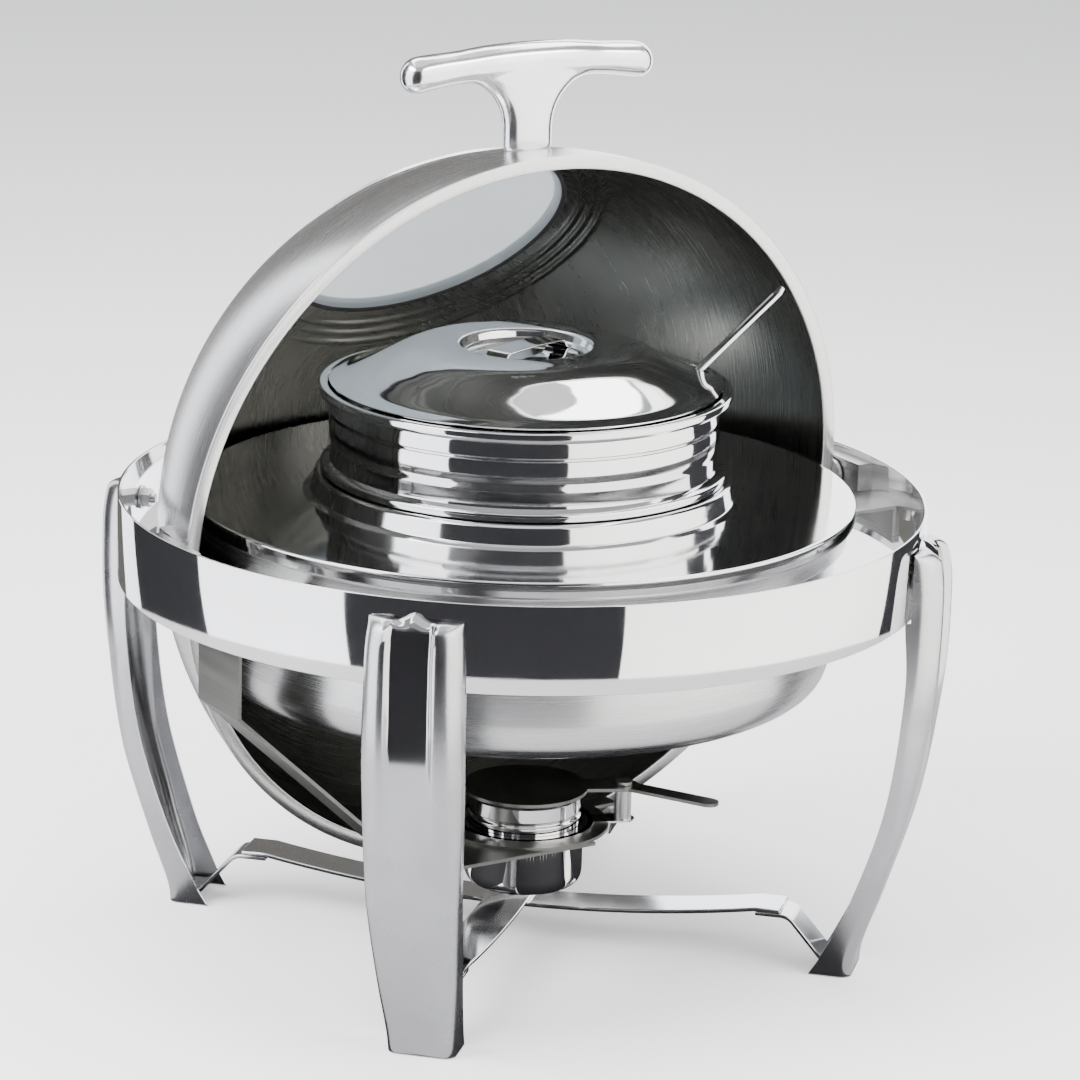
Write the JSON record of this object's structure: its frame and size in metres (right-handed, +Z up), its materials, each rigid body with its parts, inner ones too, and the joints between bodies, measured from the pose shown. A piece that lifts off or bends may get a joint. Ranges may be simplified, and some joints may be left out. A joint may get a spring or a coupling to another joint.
{
  "type": "roll top chafer",
  "caption": "Round chafing stand with a rolling dome lid, window, water pan, covered soup pot with ladle, and a fuel cup hung beneath.",
  "frame": {"origin": "on the axis of the band ring, on the plane that the feet stand on", "axes": "+Z up; -Y is the front, where the server stands; the lid's hinge axis runs along X; the lid is at rest fully open"},
  "size_m": [0.47, 0.47, 0.535],
  "materials": {
    "mirror_steel": "mirror polished stainless steel",
    "polished_leg_steel": "pressed stainless steel, polished over faint brush lines",
    "sheet_steel": "plain mill-finish stainless sheet",
    "fastener_steel": "turned stainless steel",
    "brushed_dome_steel": "spun stainless steel, satin brushed round its axis",
    "brushed_pan_steel": "deep drawn stainless steel, brushed round its axis",
    "snuffer_steel": "flat stainless sheet, darkened by the flame",
    "cast_handle_steel": "cast steel, polished",
    "ladle_steel": "polished stainless strip",
    "window_glass": "clear tempered glass, faintly blue",
    "gasket_rubber": "black silicone rubber"
  },
  "bodies": {
    "stand": {"band_ring": "mirror_steel", "brace_lower": "sheet_steel", "brace_rivet": "sheet_steel", "brace_upper": "sheet_steel", "foot_tabs": "sheet_steel", "fuel_hanger": "sheet_steel", "hinge_bracket_left": "sheet_steel", "hinge_bracket_right": "sheet_steel", "hinge_pin_left": "fastener_steel", "hinge_pin_right": "fastener_steel", "leg_bolts": "fastener_steel", "leg_front_left": "polished_leg_steel", "leg_front_right": "polished_leg_steel", "leg_nuts": "fastener_steel", "leg_rear_left": "polished_leg_steel", "leg_rear_right": "polished_leg_steel", "leg_washers": "fastener_steel", "pan_shelf_left": "sheet_steel", "pan_shelf_right": "sheet_steel", "shelf_nuts": "fastener_steel", "shelf_screws": "fastener_steel"},
    "roll_top": {"dome_shell": "brushed_dome_steel", "rim_strip": "brushed_dome_steel", "window_glass": "window_glass", "window_gasket": "gasket_rubber", "window_bezel": "brushed_dome_steel", "lid_boss_left": "sheet_steel", "lid_boss_right": "sheet_steel", "t_handle": "cast_handle_steel", "handle_screws": "fastener_steel"},
    "water_pan": {"water_pan": "brushed_pan_steel"},
    "cover_plate": {"cover_plate": "mirror_steel"},
    "soup_pot": {"soup_pot": "mirror_steel"},
    "pot_lid": {"pot_lid": "mirror_steel", "lid_grip": "mirror_steel"},
    "ladle": {"ladle_handle": "ladle_steel", "ladle_bowl": "ladle_steel"},
    "snuffer": {"snuffer_cover": "snuffer_steel"},
    "fuel_cup": {"fuel_cup": "mirror_steel", "burner_collar": "mirror_steel", "snuffer_post": "fastener_steel"}
  },
  "joints": [
    {"name": "roll_top_hinge", "type": "hinge", "parent": "stand", "child": "roll_top", "pos_m": [0, 0, 0.257], "axis": [-1, 0, 0], "range_deg": [-82.5, 0]},
    {"name": "water_pan_lift", "type": "slide", "parent": "stand", "child": "water_pan", "axis": [0, 0, 1], "range_m": [0, 0.01]},
    {"name": "cover_plate_lift", "type": "slide", "parent": "water_pan", "child": "cover_plate", "axis": [0, 0, 1], "range_m": [0, 0.015]},
    {"name": "soup_pot_lift", "type": "slide", "parent": "cover_plate", "child": "soup_pot", "axis": [0, 0, 1], "range_m": [0, 0.02]},
    {"name": "pot_lid_lift", "type": "slide", "parent": "soup_pot", "child": "pot_lid", "axis": [0, 0, 1], "range_m": [0, 0.035]},
    {"name": "ladle_slide", "type": "slide", "parent": "soup_pot", "child": "ladle", "axis": [0.6979, -0.196, 0.6889], "range_m": [0, 0.06]},
    {"name": "snuffer_swivel", "type": "hinge", "parent": "fuel_cup", "child": "snuffer", "pos_m": [0.053, -0.037, 0.094], "axis": [0, 0, 1], "range_deg": [0, 75]},
    {"name": "fuel_cup_lift", "type": "slide", "parent": "stand", "child": "fuel_cup", "axis": [0, 0, 1], "range_m": [0, 0.04]}
  ]
}
